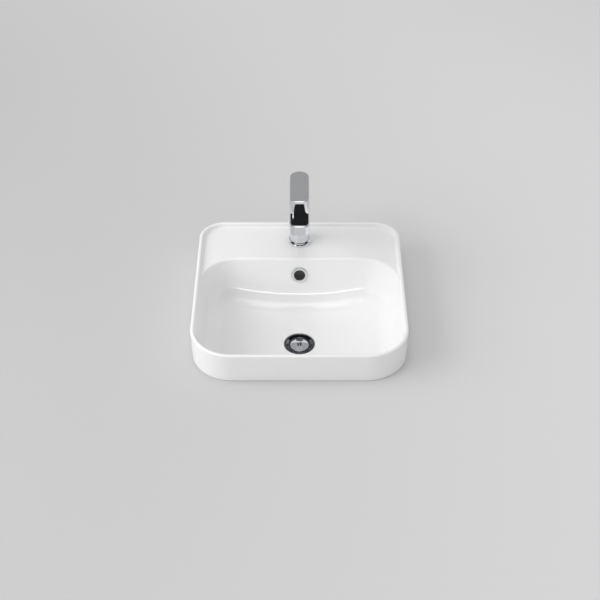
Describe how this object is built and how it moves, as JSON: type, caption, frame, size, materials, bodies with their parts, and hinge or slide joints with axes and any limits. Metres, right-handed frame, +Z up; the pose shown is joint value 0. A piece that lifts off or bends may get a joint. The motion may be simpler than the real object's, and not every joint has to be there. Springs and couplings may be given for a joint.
{
  "type": "inset basin",
  "caption": "Square white ceramic basin with a raised wall over a sunken bowl, a back ledge with a chrome block-lever mixer, an overflow ring and a push-open waste.",
  "frame": {"origin": "middle of the footprint of the raised wall, level with the benchtop it stands on", "axes": "+Z up, +Y towards the back ledge, -Y towards the user, +X to the right seen from the front"},
  "size_m": [0.44, 0.44, 0.371],
  "materials": {
    "white_ceramic": "gloss glaze",
    "tap_chrome": "polished",
    "waste_chrome": "polished",
    "ring_chrome": "polished",
    "brass": "machined",
    "steel": "bright zinc or stainless",
    "rubber": "moulded",
    "plastic": "moulded",
    "grey_plastic": "moulded",
    "disc_ceramic": "ground and lapped"
  },
  "bodies": {
    "basin": {"basin_body": "white_ceramic", "overflow_ring": "ring_chrome", "waste_body": "waste_chrome", "waste_seat_gasket": "rubber", "waste_cone_gasket": "rubber", "waste_slip_washer": "plastic", "waste_backnut": "brass", "popup_housing": "brass", "popup_collar": "plastic", "popup_spring": "steel", "tap_body": "tap_chrome", "tap_base_ring": "tap_chrome", "base_gasket": "rubber", "inlet_block": "brass", "mounting_stud": "steel", "horseshoe_gasket": "rubber", "horseshoe_plate": "steel", "stud_nut": "brass", "cartridge_gasket": "rubber", "cartridge_base": "plastic", "fixed_disc": "disc_ceramic", "cartridge_housing": "plastic", "cartridge_nut": "brass", "aerator_housing": "tap_chrome", "aerator_insert": "plastic", "aerator_seal": "rubber"},
    "turntable": {"cartridge_turntable": "plastic", "spindle_pin": "steel"},
    "lever": {"lever_handle": "tap_chrome", "lever_set_screw": "steel", "lever_screw_plug": "grey_plastic", "cartridge_spindle": "steel"},
    "disc": {"moving_disc": "disc_ceramic", "disc_carrier": "plastic"},
    "plug": {"plug_cap": "waste_chrome", "plug_seal": "rubber", "plug_stem": "brass"}
  },
  "joints": [
    {"name": "lever_swing", "type": "hinge", "parent": "basin", "child": "turntable", "pos_m": [0, 0.162, 0.181], "axis": [0, 0, 1], "range_deg": [-50, 50]},
    {"name": "lever_lift", "type": "hinge", "parent": "turntable", "child": "lever", "pos_m": [0, 0.162, 0.181], "axis": [-1, 0, 0], "range_deg": [0, 22]},
    {"name": "disc_slide", "type": "slide", "parent": "turntable", "child": "disc", "axis": [0, -1, 0], "range_m": [0, 0.0034]},
    {"name": "plug_lift", "type": "slide", "parent": "basin", "child": "plug", "axis": [0, 0, 1], "range_m": [0, 0.008], "deforming": ["popup_spring"]}
  ],
  "couplings": [
    {"joint": "disc_slide", "follows": "lever_lift", "m_per_rad": 0.00878}
  ]
}
